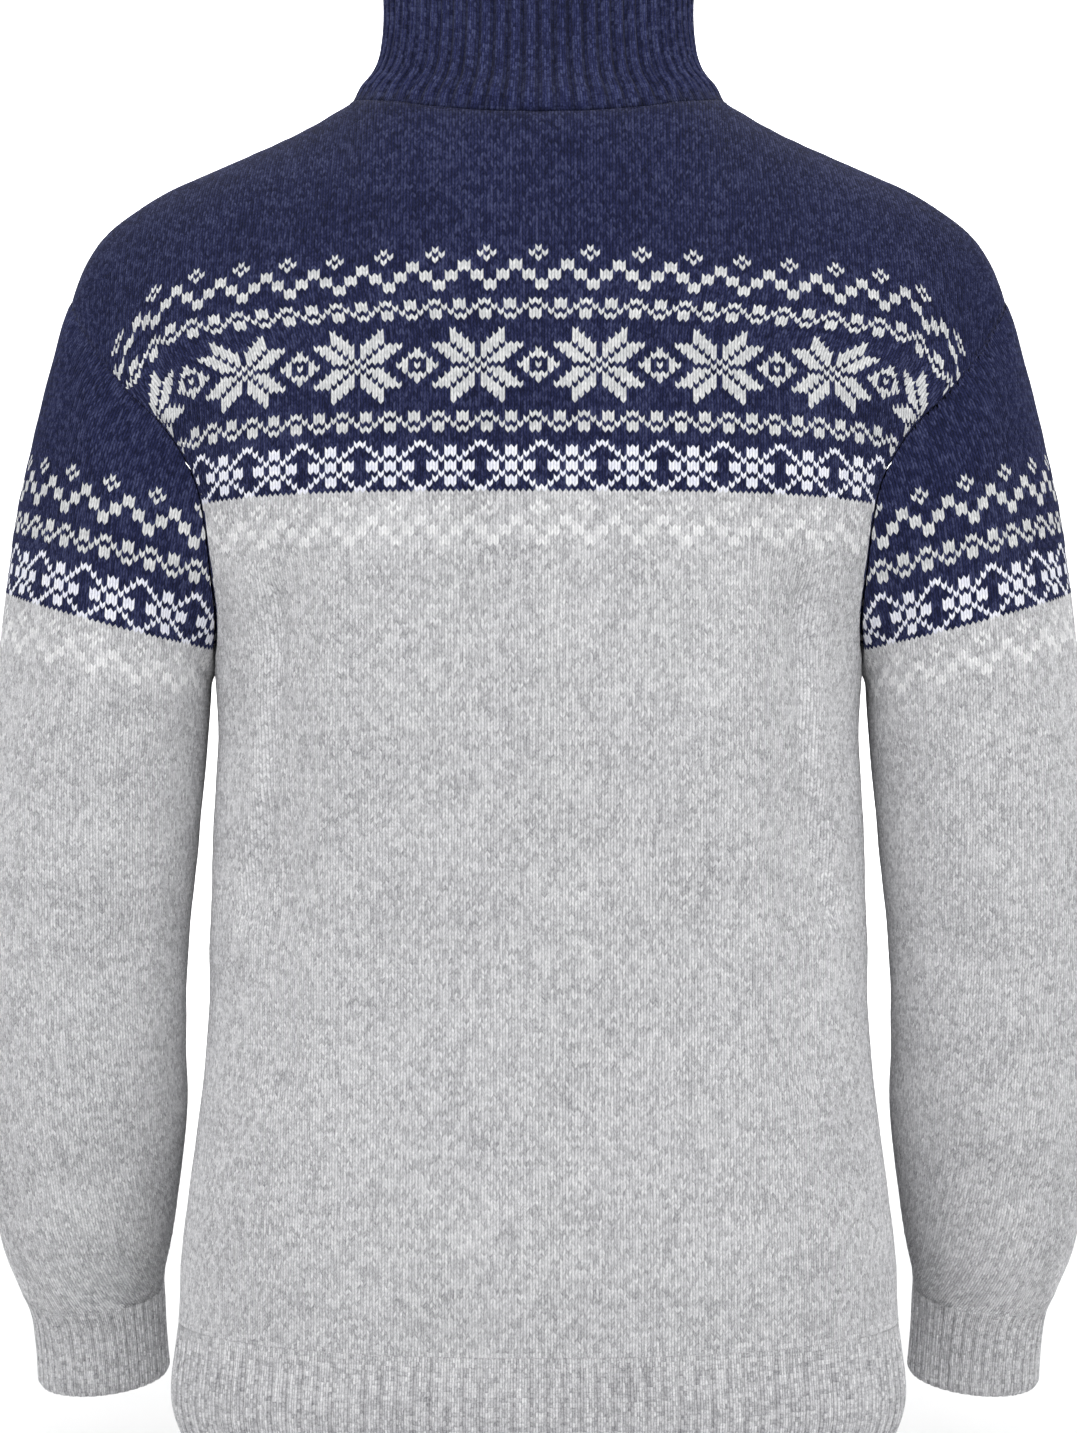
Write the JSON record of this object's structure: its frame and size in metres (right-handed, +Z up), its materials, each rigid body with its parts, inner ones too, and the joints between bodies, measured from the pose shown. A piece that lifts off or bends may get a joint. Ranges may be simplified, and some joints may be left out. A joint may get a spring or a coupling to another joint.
{
  "type": "half-zip sweater",
  "caption": "Hollow long-sleeved half-zip sweater, filled out as worn, with a ribbed stand collar, a star-patterned yoke, drop shoulders, ribbed cuffs and a ribbed hem",
  "frame": {"origin": "middle of the neck opening, level with the side neck points", "axes": "+X to the wearer's left, -Y to the wearer's front, +Z up"},
  "size_m": [0.595, 0.2478, 0.7925],
  "materials": {
    "heather_knit": "soft melange knit",
    "navy_rib": "soft melange rib",
    "zip_tape": "woven tape",
    "zip_metal": "satin"
  },
  "bodies": {
    "garment": {"back_panel": "heather_knit", "front_panel": "heather_knit", "sleeve_left": "heather_knit", "sleeve_right": "heather_knit", "cuff_left": "heather_knit", "cuff_right": "heather_knit", "hem_back": "heather_knit", "hem_front": "heather_knit", "collar": "navy_rib", "zip_tape_left": "zip_tape", "zip_tape_right": "zip_tape", "zip_slider": "zip_metal"},
    "pull_tab": {"zip_pull": "zip_metal"}
  },
  "joints": [
    {"name": "pull_swing", "type": "hinge", "parent": "garment", "child": "pull_tab", "pos_m": [0, -0.09157, 0.01867], "axis": [-1, 0, 0], "range_deg": [0, 150]}
  ]
}
